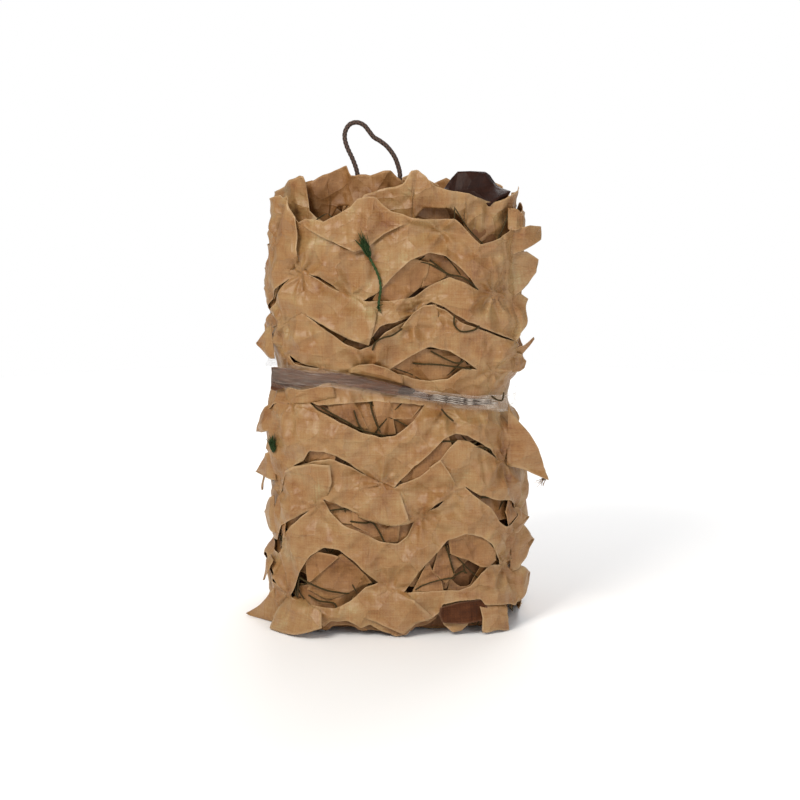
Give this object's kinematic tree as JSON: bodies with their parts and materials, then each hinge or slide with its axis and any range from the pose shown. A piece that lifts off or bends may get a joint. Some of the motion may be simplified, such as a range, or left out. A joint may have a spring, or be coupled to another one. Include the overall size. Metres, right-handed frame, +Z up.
{
  "type": "packed camouflage net roll",
  "caption": "Leaf-cut camouflage net in tan cloth on a string mesh, packed as a flattened upright roll with a clear stretch film round its waist and a loop of edge rope at its top",
  "frame": {"origin": "the middle of the foot on the floor: the bottom centre of the box round the piece without its cords", "axes": "+Z up along the roll, +X to the right seen from the front, -Y out of the front"},
  "size_m": [0.3004, 0.2091, 0.4671],
  "materials": {
    "tan_leaf_cloth": "thin tan polyester cloth with a soft satin sheen, die-cut into leaves, creased",
    "faded_brown_leaf_cloth": "thin mauve-brown polyester cloth, satin",
    "clear_stretch_film": "clear polythene stretch film, milky where it is bunched",
    "brown_braided_rope": "dark brown braided cord with lighter flecks",
    "brown_leaf_cloth": "thin dark brown polyester cloth, satin, crumpled",
    "green_twine": "dark green twisted twine, frayed at its cut end"
  },
  "bodies": {
    "root": {"netting_roll": "tan_leaf_cloth", "waist_leaf": "faded_brown_leaf_cloth", "waist_film": "clear_stretch_film", "edge_rope_loop": "brown_braided_rope", "brown_leaf_top": "brown_leaf_cloth", "green_tie": "green_twine", "side_tuft": "green_twine", "brown_leaf_hem": "faded_brown_leaf_cloth"}
  },
  "joints": []
}
